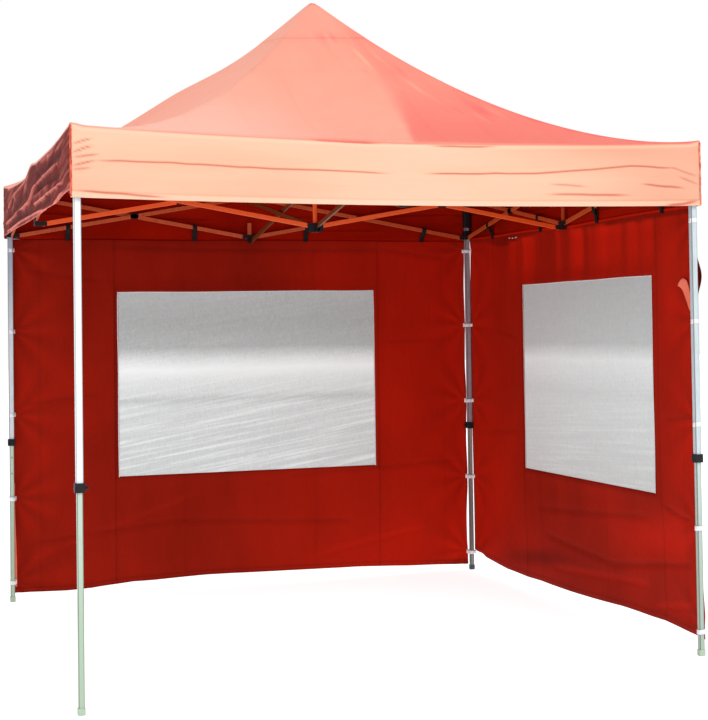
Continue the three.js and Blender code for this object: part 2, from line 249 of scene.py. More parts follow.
def painted(name, colour, wear_and_edge_highlight, foot=None, head=None, edge=None, half=0.015):
    """Powder coat with a faint orange-peel surface, scuffs and rubbed patches; foot is the duller tone that
    it goes to near the ground, head the painted shade that it goes to under the roof, edge the painted shade
    along the corners of a leg's tube, and half that tube's half width."""
    m, tree, shader, vector = new_material(name, 0.38, Coat_Weight=0.12, Coat_Roughness=0.25,
                                           Specular_IOR_Level=0.35)
    scuff = noise(tree, stretched(tree, vector, (12, 12, 2)), 6, 6, 0.7)
    base = ramp(tree, scuff, ((0.35, wear_and_edge_highlight), (0.55, colour)))
    if foot:
        near = step(tree, math_node(tree, "MULTIPLY", parts_of(tree, vector)[2], -1.0), -1.1, -0.15)
        base = mix(tree, near, base, foot)
    # painted shade at the top, under the roof
    if head:
        base = mix(tree, step(tree, parts_of(tree, vector)[2], 1.5, 2.1), base, head)
    # painted shade along the rounded corners of the tube
    if edge:
        near = []
        for part in parts_of(tree, vector)[:2]:
            from_axis = math_node(tree, "SUBTRACT", math_node(tree, "ABSOLUTE", part), LEG)
            near.append(step(tree, math_node(tree, "ABSOLUTE", from_axis), half - 0.0052, half - 0.0022))
        corner = math_node(tree, "MULTIPLY", *near)
        base = mix(tree, corner, base, edge)
    specks = ramp(tree, noise(tree, vector, 160, 3, 0.8), greys((0.66, 0), (0.72, 1)))
    base = mix(tree, math_node(tree, "MULTIPLY", specks, 0.25), base, tuple(c * 0.5 for c in wear_and_edge_highlight))
    tree.links.new(base, shader.inputs["Base Color"])
    tree.links.new(bump(tree, noise(tree, vector, 700, 2), 0.0002), shader.inputs["Normal"])
    return m


def moulded(name, colour):
    """Moulded nylon with a fine grain, paler random patches and painted highlights along its edges."""
    m, tree, shader, vector = new_material(name, 0.5, Specular_IOR_Level=0.16)
    edges = tree.nodes.new("ShaderNodeNewGeometry")
    # painted highlights where the edges are sharp
    wear_and_edge_highlight = ramp(tree, edges.outputs["Pointiness"], greys((0.5, 0), (0.56, 1)))
    patchy = noise(tree, vector, 60, 4)
    pale = tuple(min(1, c * 1.8 + 0.008) for c in colour)
    base = mix(tree, math_node(tree, "MULTIPLY", patchy, 0.25), colour, pale)
    base = mix(tree, math_node(tree, "MULTIPLY", wear_and_edge_highlight, 0.6), base, pale)
    tree.links.new(base, shader.inputs["Base Color"])
    tree.links.new(bump(tree, noise(tree, vector, 900, 3), 0.0003), shader.inputs["Normal"])
    return m


def clear_film(name, levels, streak, tilt, glow, crumple):
    """Frosted window film. levels are the grey tones up the pane, streak the strength of the painted shade
    and highlights along its creases, which rise by tilt, glow a painted light in the film for the daylight
    that comes through it, and crumple its fine crinkles."""
    m, tree, shader, vector = new_material(name, 0.3, Specular_IOR_Level=0.35)
    x, y, z = parts_of(tree, vector)
    along = math_node(tree, "ADD", x, y)
    slant = math_node(tree, "SUBTRACT", z, math_node(tree, "MULTIPLY", along, tilt))
    crossing = tree.nodes.new("ShaderNodeCombineXYZ")
    for socket, value in zip(crossing.inputs, (along, along, slant)):
        tree.links.new(value, socket)
    wander = noise(tree, stretched(tree, vector, (0.8, 0.8, 2)), 2, 3)
    height = math_node(tree, "ADD", z, math_node(tree, "MULTIPLY", wander, 0.04))
    grey = ramp(tree, step(tree, height, 0.70, 1.86, "LINEAR"), greys(*levels))
    fine = noise(tree, stretched(tree, crossing.outputs[0], (0.45, 0.45, 26)), 2.2, 5, 0.55, 0.4)
    crinkle = noise(tree, stretched(tree, vector, (6, 6, 3)), 9, 6, 0.7, 2.0)
    low = step(tree, math_node(tree, "MULTIPLY", z, -1.0), -1.35, -0.95)
    folds = ramp(tree, fine, greys((0.42, 0.44), (0.54, 0.50), (0.66, 0.64)))
    tone = mix(tree, math_node(tree, "MULTIPLY", math_node(tree, "ADD", low, 0.25), streak), grey, folds,
               "OVERLAY")
    patch = ramp(tree, crinkle, greys((0.35, 0.40), (0.65, 0.60)))
    tone = mix(tree, crumple, tone, patch, "OVERLAY")
    # the film glows with the same tones: painted light for the daylight through it
    for socket in ("Base Color", "Emission Color"):
        tree.links.new(mix(tree, 1.0, tone, (0.93, 1.0, 1.0), "MULTIPLY"), shader.inputs[socket])
    shader.inputs["Emission Strength"].default_value = glow
    normal = bump(tree, fine, 0.0010)
    tree.links.new(bump(tree, crinkle, 0.0006, normal), shader.inputs["Normal"])
    return m


# the roof cloth's light colour is a painted highlight, on the front panel's paler left part and over the left
# panel; its dark colour is painted shade, on the front panel's pinker right part and in the creases
roof_out = cloth("roof_cloth_salmon", (0.79, 0.335, 0.245), (0.78, 0.305, 0.22), (0.83, 0.47, 0.38),
                 (0.76, 0.135, 0.115), crease=(2, 2, 2), depth=0.003)
# the valances' light colours are painted highlights on ridges and hems, their dark colours painted shade in
# the creases
valance_out = cloth("valance_cloth_peach", (0.79, 0.48, 0.335), (0.79, 0.45, 0.305), (0.84, 0.60, 0.46),
                    (0.60, 0.175, 0.110), crease=(1.4, 1.4, 12))
# maroon: the valance cloth with painted shade in its colour; its light colour is the painted highlights on
# its ridges
valance_left_painted_shade = cloth("valance_cloth_maroon_painted_shade", (0.19, 0.019, 0.014), (0.13, 0.013, 0.011), (0.76, 0.22, 0.18),
                     (0.05, 0.005, 0.005), 0.6, (5, 3, 5), 0.006, 0.02)
corner_red = cloth("corner_binding_red", (0.70, 0.10, 0.05), (0.60, 0.07, 0.04), (0.8, 0.3, 0.2),
                   (0.3, 0.02, 0.01), crease=(20, 20, 20), depth=0.002)
roof_in = cloth("roof_lining_red", (0.36, 0.009, 0.0012), (0.28, 0.006, 0.001), (0.5, 0.012, 0.002),
                (0.14, 0.004, 0.001), crease=(3, 3, 3), shine=0.01)
# the wall lining's light colour is painted light on lit gathers and patches; its dark colour is painted
# shade, on the valance's shadow band and on the shaded bulge
wall_in = cloth("wall_cloth_red", (0.295, 0.0100, 0.0030), (0.255, 0.0085, 0.0025), (0.60, 0.013, 0.003),
                (0.08, 0.0015, 0.0004), crease=(5, 5, 2), shine=0.04)
wall_out = cloth("wall_cloth_outside", (0.62, 0.045, 0.028), (0.54, 0.035, 0.02), (0.75, 0.10, 0.06),
                 (0.3, 0.015, 0.01), crease=(6, 6, 2))
film_back = clear_film("window_film_back", ((0.0, 0.52), (0.38, 0.56), (0.415, 0.47), (0.45, 0.58),
                                            (0.52, 0.63), (0.58, 0.74), (0.63, 0.62), (0.70, 0.37),
                                            (0.84, 0.33), (1.0, 0.37)), 0.70, 0.16, 0.45, 0.5)
film_right = clear_film("window_film_right", ((0.0, 0.45), (0.42, 0.51), (0.46, 0.49), (0.62, 0.60),
                                              (0.70, 0.40), (1.0, 0.36)), 0.22, -0.05, 0.45, 0.4)
# the legs have one white powder coat, and these are copies of it with painted light and shade: the front left
# leg's is the lit one, while the front right leg's cool copies and the back right leg's darker ones are
# painted shade; the back left leg has painted shade only at its top, under the roof; every edge colour is
# painted shade along the tube's corners
leg_white = painted("leg_paint_white", (0.76, 0.81, 0.83), (0.68, 0.73, 0.75), edge=(0.40, 0.45, 0.47))
leg_right = painted("leg_paint_cool_shade", (0.52, 0.60, 0.64), (0.44, 0.52, 0.56), edge=(0.20, 0.21, 0.21))
leg_back = painted("leg_paint_shaded", (0.34, 0.34, 0.39), (0.26, 0.25, 0.29), edge=(0.12, 0.09, 0.10))
leg_left = painted("leg_paint_top_shaded", (0.62, 0.68, 0.72), (0.54, 0.60, 0.64), head=(0.32, 0.37, 0.46),
                   edge=(0.20, 0.21, 0.22))
leg_lower = painted("leg_paint_lower", (0.50, 0.60, 0.53), (0.44, 0.54, 0.47), foot=(0.36, 0.48, 0.36),
                    edge=(0.19, 0.24, 0.17), half=0.0125)
leg_lower_right = painted("leg_paint_lower_cool_shade", (0.50, 0.58, 0.57), (0.43, 0.51, 0.50),
                          foot=(0.34, 0.43, 0.36), edge=(0.14, 0.17, 0.13), half=0.0125)
leg_lower_back = painted("leg_paint_lower_shaded", (0.36, 0.38, 0.35), (0.29, 0.30, 0.28),
                         foot=(0.20, 0.22, 0.21), edge=(0.10, 0.10, 0.09), half=0.0125)
# the bars have a white powder coat; these orange and olive colours are painted light, the red light through
# the roof: full on the first, weaker on the second, and the third is in deep shade
bar_painted_light = painted("bar_paint_lit", (0.90, 0.115, 0.015), (0.82, 0.10, 0.012))
bar_painted_shade = painted("bar_paint_dull", (0.56, 0.090, 0.020), (0.42, 0.065, 0.016))
bar_painted_deep_shade = painted("bar_paint_olive", (0.17, 0.045, 0.010), (0.11, 0.030, 0.007))
nylon = moulded("joint_nylon_black", (0.006, 0.005, 0.007))
foot_grey = moulded("foot_cap_grey", (0.25, 0.32, 0.24))
# the back right foot's cap: the grey cap with painted shade
foot_shaded = moulded("foot_cap_painted_shade", (0.035, 0.045, 0.045))
tape_white = cloth("tie_tape_white", (0.82, 0.83, 0.85), (0.74, 0.74, 0.78), (0.9, 0.9, 0.9), (0.5, 0.5, 0.5),
                   0.75, (40, 40, 40), 0.001)
webbing = cloth("hanger_webbing_black", (0.010, 0.008, 0.008), (0.02, 0.016, 0.016), (0.05, 0.05, 0.05),
                (0.005, 0.005, 0.005), 0.8, (30, 30, 30), 0.001)
strip_salmon = cloth("loose_strip_salmon", (0.90, 0.22, 0.14), (0.86, 0.18, 0.11), (0.9, 0.3, 0.2),
                     (0.6, 0.1, 0.06), crease=(20, 20, 20), depth=0.001)


# ---- helpers for cloth

def lattice(u, v, seed):
    """Smooth value noise of two coordinate arrays, from -1 to 1."""
    table = np.random.RandomState(seed).uniform(-1, 1, (64, 64))
    iu, iv = np.floor(u).astype(int), np.floor(v).astype(int)
    fu, fv = u - iu, v - iv
    fu, fv = fu * fu * (3 - 2 * fu), fv * fv * (3 - 2 * fv)
    a, b = table[iu % 64, iv % 64], table[(iu + 1) % 64, iv % 64]
    c, d = table[iu % 64, (iv + 1) % 64], table[(iu + 1) % 64, (iv + 1) % 64]
    return (a * (1 - fu) + b * fu) * (1 - fv) + (c * (1 - fu) + d * fu) * fv


def field(u, v, seed, octaves=3):
    """Value noise with finer and fainter octaves on it."""
    total = np.zeros(np.broadcast(u, v).shape)
    for k in range(octaves):
        total += lattice(u * 2 ** k + 7.3 * k, v * 2 ** k + 3.1 * k, seed + k) / 2 ** k
    return total


def smooth(x, low, high):
    """Smooth step of an array, from 0 at low to 1 at high."""
    t = np.clip((x - low) / (high - low), 0, 1)
    return t * t * (3 - 2 * t)


def bell(x, centre, width):
    return np.exp(-((x - centre) / width) ** 2)


def turned(points, quarter):
    """Points of the front side, taken round to another side."""
    p = np.array(points, float)
    for _ in range(quarter):
        p[..., 0], p[..., 1] = -p[..., 1].copy(), p[..., 0].copy()
    return p


def grid_piece(name, points, materials, thickness, zones=0, keep=True, tone=0.0):
    """A sheet through a grid of points, given thickness behind its face. zones picks the face material
    of each cell and keep leaves cells out; the lining uses the second half of the materials."""
    rows, cols = points.shape[:2]
    i, j = np.nonzero(np.broadcast_to(keep, (rows - 1, cols - 1)))
    a = i * cols + j
    faces = np.stack([a, a + cols, a + cols + 1, a + 1], -1)
    used, faces = np.unique(faces, return_inverse=True)
    faces = faces.reshape(-1, 4)
    mesh = bpy.data.meshes.new(name)
    mesh.from_pydata(points.reshape(-1, 3)[used].tolist(), [], faces.tolist())
    for m in materials:
        mesh.materials.append(m)
    index = np.broadcast_to(zones, (rows - 1, cols - 1))[i, j]
    mesh.polygons.foreach_set("material_index", index.astype(np.int32))
    marks = mesh.attributes.new("tone", "FLOAT", "POINT")
    values = np.broadcast_to(tone, (rows, cols)).ravel()
    marks.data.foreach_set("value", np.clip(values[used], -1, 1).astype(np.float32))
    mesh.update()
    obj = add_object(name, mesh)
    solid = obj.modifiers.new("thickness", "SOLIDIFY")
    solid.thickness = thickness
    solid.offset = -1
    solid.use_even_offset = False
    solid.material_offset = len(materials) // 2
    return applied(obj)


def applied(obj):
    """Applies the object's modifiers and shades it smooth."""
    bpy.context.view_layer.update()
    made = bpy.data.meshes.new_from_object(obj.evaluated_get(bpy.context.evaluated_depsgraph_get()))
    obj.modifiers.clear()
    obj.data = made
    made.name = obj.name
    made.polygons.foreach_set("use_smooth", [True] * len(made.polygons))
    return obj


def marked_steps(low, high, spacing, marks):
    """Evenly spaced values with the marks among them, and no even one close to a mark."""
    even = np.linspace(low, high, round((high - low) / spacing) + 1)
    marks = np.array(sorted(marks), float)
    far = np.abs(even[:, None] - marks[None, :]).min(1) > 0.45 * spacing
    far[0] = far[-1] = True
    return np.sort(np.concatenate([even[far], marks]))


def creases(a, z, lines):
    """Relief and tone of creases. Each line is (points (a, z) along it, half width, depth, tone); the tone is
    painted shade in the crease where it is below 0 and a painted highlight along it where it is above 0.
    """
    relief, tone = np.zeros(np.broadcast(a, z).shape), np.zeros(np.broadcast(a, z).shape)
    for points, width, depth, painted_shading in lines:
        at = np.array(sorted(points))
        middle = np.interp(a, at[:, 0], at[:, 1]) + 0.0015 * lattice(a * 14, a * 0 + depth * 1000, 3)
        reach = at[-1, 0] - at[0, 0]
        end = min(0.12, 0.3 * reach)
        fade = smooth(a, at[0, 0] - 0.01, at[0, 0] + end) * (1 - smooth(a, at[-1, 0] - end, at[-1, 0] + 0.01))
        mark = bell(z, middle, width) * fade
        relief += depth * mark
        # painted shade where the tone is below 0, painted highlight where it is above 0
        tone += painted_shading * mark
    return relief, tone


def ribbon(name, path, across, material, thickness, taper=1.0):
    """A flat strap along a path of points, with its width vector and the share of it at each point."""
    path = np.array(path, float)
    across = np.array(across, float) * np.broadcast_to(taper, len(path))[:, None]
    points = np.stack([path - across / 2, path - across / 6, path + across / 6, path + across / 2], 1)
    return grid_piece(name, points, [material, material], thickness)


def rounded(path, rounds):
    """Cuts the corners of an open path of points."""
    p = np.array(path, float)
    for _ in range(rounds):
        q = np.stack([0.75 * p[:-1] + 0.25 * p[1:], 0.25 * p[:-1] + 0.75 * p[1:]], 1).reshape(-1, p.shape[1])
        p = np.concatenate([p[:1], q, p[-1:]])
    return p


# ---- roof panels and valances

# valance creases: (points (along the side, height), half width, depth, tone); the left side's run along y.
# The tone is painted shade where it is below 0 and a painted highlight where it is above 0
FRONT_CREASES = (
    (((-1.42, 2.318), (-1.12, 2.315), (-0.62, 2.297), (-0.22, 2.292), (-0.06, 2.286)), 0.0036, -0.004, -0.75),
    (((0.06, 2.288), (0.30, 2.293), (0.63, 2.301), (0.85, 2.318), (1.13, 2.345), (1.38, 2.338)),
     0.0036, -0.004, -0.95),
    (((-0.46, 2.425), (-0.22, 2.422), (-0.10, 2.418)), 0.0036, -0.003, -0.8),
    (((0.08, 2.413), (0.26, 2.416), (0.46, 2.421)), 0.0045, -0.004, -1.0),
    (((0.69, 2.252), (0.90, 2.244)), 0.004, -0.003, -0.5),
    (((1.17, 2.260), (1.42, 2.243)), 0.004, -0.004, -0.8),
    (((0.66, 2.205), (1.14, 2.206)), 0.005, -0.004, -0.65),
    (((1.30, 2.158), (1.40, 2.166), (1.492, 2.186)), 0.006, -0.006, -1.0),
    (((-1.49, 2.192), (-1.30, 2.178), (-1.06, 2.164)), 0.005, -0.004, -0.95),
    (((-1.49, 2.386), (-1.41, 2.412)), 0.004, -0.004, -0.8),
    (((-1.49, 2.350), (-1.41, 2.382)), 0.004, -0.004, -0.9),
    (((-1.49, 2.328), (-1.38, 2.346)), 0.004, -0.004, -0.7),
    (((-1.49, 2.294), (-1.40, 2.318)), 0.004, -0.004, -0.8),
    (((-1.49, 2.276), (-1.42, 2.288)), 0.004, -0.003, -0.6),
    (((1.33, 2.345), (1.49, 2.300)), 0.004, -0.004, -0.4),
    (((1.38, 2.30), (1.49, 2.262)), 0.004, -0.004, -0.4),
)
PLAIN_CREASES = (
    (((-1.40, 2.330), (-0.70, 2.305), (0.10, 2.300)), 0.005, -0.004, -0.45),
    (((0.20, 2.280), (0.80, 2.290), (1.40, 2.320)), 0.005, -0.004, -0.45),
    (((-0.90, 2.220), (-0.10, 2.215)), 0.006, -0.003, -0.35),
    (((0.60, 2.400), (1.20, 2.412)), 0.005, -0.003, -0.4),
    (((-1.49, 2.37), (-1.36, 2.40)), 0.004, -0.004, -0.5),
    (((-1.49, 2.31), (-1.38, 2.33)), 0.004, -0.004, -0.5),
    (((1.36, 2.35), (1.49, 2.31)), 0.004, -0.004, -0.5),
    (((1.30, 2.20), (1.49, 2.185)), 0.005, -0.004, -0.6),
)
LEFT_CREASES = (
    (((-1.36, 2.206), (-1.12, 2.187), (-0.93, 2.170), (-0.59, 2.176), (-0.28, 2.188), (0.43, 2.194),
      (1.28, 2.186)), 0.006, 0.020, 1.0),
    (((-1.36, 2.244), (-0.94, 2.234), (-0.44, 2.229), (-0.20, 2.226)), 0.006, 0.018, 0.95),
    (((-1.20, 2.342), (-0.80, 2.327), (-0.29, 2.318), (0.0, 2.262), (0.43, 2.257), (1.28, 2.228)),
     0.006, 0.016, 0.8),
    (((0.05, 2.410), (0.42, 2.385), (0.76, 2.353), (1.20, 2.310)), 0.006, 0.014, 0.7),
    (((0.30, 2.398), (0.70, 2.378), (1.10, 2.352)), 0.010, 0.010, 0.3),
    (((-1.40, 2.425), (-0.90, 2.415), (-0.35, 2.425)), 0.012, 0.010, 0.3),
    (((-0.9, 2.275), (-0.5, 2.268), (-0.1, 2.272)), 0.010, 0.012, 0.25),
    (((-1.30, 2.385), (-0.70, 2.370), (-0.20, 2.372)), 0.022, -0.014, -0.6),
    (((-1.20, 2.290), (-0.70, 2.298), (-0.30, 2.290)), 0.016, -0.012, -0.5),
    (((-0.90, 2.205), (-0.20, 2.208), (0.60, 2.225), (1.20, 2.208)), 0.014, -0.012, -0.5),
    (((0.10, 2.330), (0.60, 2.300), (1.20, 2.262)), 0.020, -0.012, -0.45),
)


def hip_rise(corner, t):
    """Height of the roof over the eave along the hip to a corner. The back left hip is drawn the tightest."""
    curve = (2.0, 1.8, 1.5, 1.5 - 0.3 * smooth(t, 0.15, 0.45))[corner]
    blunt = np.sqrt(t ** 2 + 0.008 ** 2)
    return (PEAK - EAVE) * np.maximum(0, 1 - blunt) ** curve


def roof_height(side, u, t):
    """Height of a roof panel: u runs from -1 to 1 between its hips, and t from the peak to the eave."""
    share = (u + 1) / 2
    return EAVE + hip_rise(side, t) * (1 - share) + hip_rise((side + 1) % 4, t) * share


def eave_dip(side, u):
    """How far the eave hangs below its corners. The left one is slack between its corners and the joint."""
    s = np.abs(u)
    if side != 3:
        return SAG * (1 - u ** 2)
    far = 0.044 * smooth(s, 0, 0.22) * (1 - s ** 2)
    near = 0.012 * smooth(s, 0, 0.15) * (1 - smooth(s, 0.5, 0.85))
    return 0.010 * (1 - smooth(s, 0.75, 0.95)) + np.where(u < 0, far, near)


def hem_height(side, u):
    """Height of the valance's lower edge."""
    if side == 3:
        return 2.170 + 0.005 * smooth(-u, 0.1, 0.6) + 0.022 * smooth(u, 0.62, 0.95)
    return 2.161 - 0.017 * (1 - u ** 2)


def seam_depth(side, u):
    """How far below the eave's edge the valance is sewn on."""
    return 0.004 + (0.016 if side == 0 else 0.006) * (1 - np.abs(u) ** 1.2)


def front_shade_edge(y):
    """The front panel is drawn tighter to the right of this line, and there it has painted shade that makes
    it look pinker.
    """
    out = np.array([0.0, 0.11, 0.23, 0.36, 0.49, 0.64, 0.80, 1.01, 1.25, 1.50])
    x = np.array([0.03, 0.089, 0.111, 0.152, 0.192, 0.209, 0.200, 0.166, 0.105, 0.02])
    return np.interp(-y, out, x)


def roof_tone(side, u, t, x, y):
    """Tone of the roof cloth: pale stitched lines and darker creases; on the front panel painted shade over
    its pinker right part, a painted highlight over its paler left part, and painted shade and highlights in
    the creases beside its right hip; and a painted light over the whole left panel.
    """
    tone = 0.10 * field(x * 1.3, y * 1.3, 60 + side, 3)
    for fold in ROOF_FOLDS:
        tone -= 0.10 * bell(np.abs(x), fold, 0.008) * smooth(t, 0.2, 0.4)
        tone -= 0.08 * bell(t, fold, 0.006)
    tone -= 0.35 * bell(t, PATCH, 0.004)
    tone -= 0.25 * bell(np.abs(u), HIP_SEAM, 0.005) * smooth(t, 0.05, PATCH)
    if side == 0:
        # painted shade over the pinker right part of the front, painted highlight over its paler left part
        soft = 0.10 - 0.075 * smooth(-y, 0.3, 1.3)
        pink = smooth(x - front_shade_edge(y), -soft / 2, soft)
        depth = 0.31 + 0.46 * smooth(-y, 0.25, 1.15) - 0.06 * smooth(x, 0.8, 1.4)
        pale = 0.04 + 0.62 * smooth(-x, 0.10, 0.8) * smooth(-y, 0.4, 1.1)
        tone = tone - pink * depth + (1 - pink) * pale - 0.10 * (1 - smooth(t, 0.15, 0.4))
        # painted shade and highlights in the creases beside the right hip
        beside_hip = bell(HALF * t * (1 - u), 0.17, 0.11) * smooth(t, 0.08, 0.16) * (1 - smooth(t, 0.5, 0.65))
        dark, light = (smooth(lattice(x * 34 + y * 16, y * 9, seed), 0.2, 0.6) for seed in (67, 68))
        tone -= 0.34 * (dark - light) * beside_hip
    # painted light: the left panel is lighter
    if side == 3:
        tone += 0.12
    return tone


def panel_points(side):
    """Points and tone of a roof panel with its valance, and the number of rows that the roof takes."""
    columns, rows, valance_rows = 168, 50, 88 if side in (0, 3) else 50
    u = marked_steps(-1, 1, 2 / columns, (-0.992, -HIP_SEAM, HIP_SEAM, 0.992))[None, :]
    t = marked_steps(0.02, 1, 0.98 / rows, (PATCH - 0.005, PATCH, PATCH + 0.005, 0.985))
    t = np.concatenate(([0.004], t))[:, None]
    x, y = u * HALF * t, -HALF * t + 0 * u
    tip = 0.010 * smooth(np.abs(u), 0.955, 1.0)
    z = roof_height(side, u, t) - eave_dip(side, u) * t ** 3 + tip * t ** 12
    seed = 10 * side
    span = smooth(t, 0.05, 0.35) * smooth(1.02 - t, 0.0, 0.25) * (1 - u ** 4)
    z -= 0.020 * span * (1 - bell(u * t, 0, 0.16))
    ridge = x - front_shade_edge(y) if side == 0 else x
    z += 0.008 * bell(ridge, 0, 0.06) * smooth(t, 0.2, 0.6) * (1 - smooth(t, 0.9, 1.0))
    z += 0.004 * field(x * 1.6, y * 2.2, seed, 3) * span
    puckers = np.maximum(0, lattice(x * 9, y * 16, seed + 6))
    z += 0.0035 * puckers * bell(t, 0.45, 0.12) * bell(ridge, 0.18, 0.22)
    near_hip = smooth(np.abs(u), 0.86, 1.0) * smooth(t, 0.04, 0.2)
    ripple = np.sin(t * 70 + 2 * lattice(t * 9, u * 0, seed + 3))
    z += 0.0035 * near_hip * ripple * (1 - smooth(np.abs(u), 0.97, 1))
    z += 0.0012 * smooth(np.abs(u), 0.984, 0.987) + 0.0012 * (1 - smooth(t, PATCH - 0.002, PATCH + 0.002))
    roof = np.stack([x, y, z], -1)
    tones = roof_tone(side, u, t, x, y)

    eave = EAVE - eave_dip(side, u) + tip
    seam = eave - seam_depth(side, u)
    share = np.linspace(0, 1, valance_rows + 1)[:, None]
    vz = seam + (hem_height(side, u) - seam) * share
    vx = u * HALF + 0 * vz
    along = -vx if side == 3 else vx
    lines = (FRONT_CREASES, PLAIN_CREASES, PLAIN_CREASES, LEFT_CREASES)[side]
    relief, marks = creases(along, vz, lines)
    loose = 1 - smooth(np.abs(u), 0.97, 1.0)
    if side == 3:
        slack = 0.006 * field(along * 1.5, vz * 12, 71, 3) + 0.004 * np.abs(lattice(along * 5, vz * 40, 75))
        held = smooth(share, 0.0, 0.3) * (1 - 0.6 * smooth(share, 0.7, 1.0))
        relief = (relief + slack + 0.004) * loose * held
        # painted highlights and painted shade along slanting folds of the left valance, a painted highlight
        # along its hem, and lighter at its top
        slant = vz * 26 + along * 5
        veins = [bell(lattice(along * 2.2, slant, 78 + k), 0.0, 0.07) for k in range(3)]
        marks = marks + 0.42 * veins[0] - 0.40 * veins[1] + 0.22 * veins[2]
        relief += 0.0025 * (veins[0] - veins[1]) * loose
        marks = marks + 0.16 * field(along * 3, slant, 77, 3) + 0.8 * bell(share, 1.0, 0.022)
        marks += 0.25 * (1 - smooth(share, 0.0, 0.05))
    else:
        slack = 0.0035 * field(along * 1.2, vz * 9, seed + 40, 3) + 0.004 * bell(share, 0.5, 0.3)
        relief += slack * loose
        relief += 0.0014 * smooth(share, 0.90, 0.912)
        # painted shade in the creases, with random tone
        marks = 1.3 * marks + 0.14 * field(along * 1.4, vz * 7, seed + 44, 2)
        marks -= 0.22 * bell(share, 0.905, 0.010)
        # painted shade just under the eave's seam, and a painted highlight on the roll below it
        marks -= 0.75 * bell(share, 0.0, 0.011) * (0.6 + 0.4 * lattice(along * 3, vz * 0, 88))
        marks += 0.30 * bell(share, 0.035, 0.022)
        marks = marks + 0.35 * smooth(share, 0.915, 0.93) - 0.31 * smooth(u, 0.25, 0.85)
    hang = np.stack([vx, -HALF - relief, vz], -1)
    points = np.concatenate([roof, hang])
    return points, np.concatenate([tones, marks]), roof.shape[0]


def attach(obj, side, roof=False):
    """Makes a cloth piece ride with a side's wall or roof panel, on a copy of its own mesh."""
    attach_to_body(obj, f"canopy_{SIDES[side]}" if roof else f"{SIDES[side]}_upper_mid")
    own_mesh(obj)


def corner_binding(side):
    """The bound corner at the left end of a side, with its pointed tip on the roof."""
    rows, cols, top, foot = 46, 7, 2.4785, 2.166
    down = np.linspace(0, 1, rows)[:, None]
    turn = np.linspace(-1, 1, cols)[None, :]
    z = top - (top - foot) * down
    width = 0.0065 * smooth(down, 0.0, 0.05) + 0.0015 * lattice(down * 30, turn * 0, 90 + side)
    reach = 0.0022 + 0.0008 * lattice(down * 22, turn * 2, 93 + side)
    x = -HALF + np.maximum(0, turn) * width - reach * (1 - 0.5 * np.maximum(0, turn))
    y = -HALF + np.maximum(0, -turn) * width - reach * (1 - 0.5 * np.maximum(0, -turn))
    inward = 0.010 * (1 - smooth(down, 0.0, 0.04))
    points = np.stack([x + inward, y + inward, z + 0 * turn], -1)
    obj = grid_piece(f"{CORNERS[side]}_corner_binding", turned(points, side), [corner_red, corner_red], 0.001,
                     tone=(0.3 if side == 1 else -0.1) + 0.7 * lattice(down * 18, turn, 95 + side))
    attach(obj, side, roof=True)
    return obj


def make_panel(side):
    points, tone, roof_rows = panel_points(side)
    rows, cols = points.shape[:2]
    zones = np.zeros((rows - 1, cols - 1), int)
    zones[roof_rows:, :] = 1
    face = valance_left_painted_shade if side == 3 else valance_out
    obj = grid_piece(f"canopy_{SIDES[side]}_cloth", turned(points, side), [roof_out, face, roof_in, roof_in],
                     0.0012, zones, tone=tone)
    attach(obj, side, roof=True)
    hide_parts(f"canopy_{SIDES[side]}_panel")
    binding = corner_binding(side)


for side in range(4):
    make_panel(side)


# ---- side walls

# lines on the walls, as (place along the side, height), and the right wall's far edge, as (height, place)
# SHADOW_LINE is where the valance's painted shadow ends on the right wall
SHADOW_LINE = ((-1.45, 2.132), (-1.10, 2.135), (-0.87, 2.130), (-0.54, 2.136), (-0.33, 2.134), (0.03, 2.156),
               (0.35, 2.154), (0.65, 2.130), (0.92, 2.096), (1.34, 2.143), (1.45, 2.150))
RIGHT_HEM = ((-1.45, 0.070), (-1.41, 0.073), (-1.05, 0.092), (-0.59, 0.088), (0.0, 0.078), (0.96, 0.069),
             (1.30, 0.095), (1.456, 0.130))
BACK_HEM = ((-1.45, 0.031), (-0.96, 0.052), (-0.53, 0.064), (0.12, 0.076), (0.75, 0.067), (1.0, 0.042),
            (1.15, 0.039), (1.45, 0.047))
FAR_EDGE = ((0.10, 1.468), (0.45, 1.466), (0.90, 1.476), (1.80, 1.478), (1.99, 1.462), (2.10, 1.458),
            (2.17, 1.468))
# by side number: left, right, lower and upper edge of the window, the seams, and (place, lean) of the straps
WINDOWS = {2: (-0.82, 0.826, 0.71, 1.835), 1: (-1.0, 0.62, 0.73, 1.84)}
SEAMS = {2: (-0.85, 0.85), 1: (-1.05, 0.65)}
HANGERS = {2: ((1.127, 0.0), (0.348, 0.0), (-0.368, -0.010), (-1.157, -0.014)),
           1: ((1.08, 0.004), (0.345, 0.0), (-0.40, 0.004), (-1.13, 0.010))}
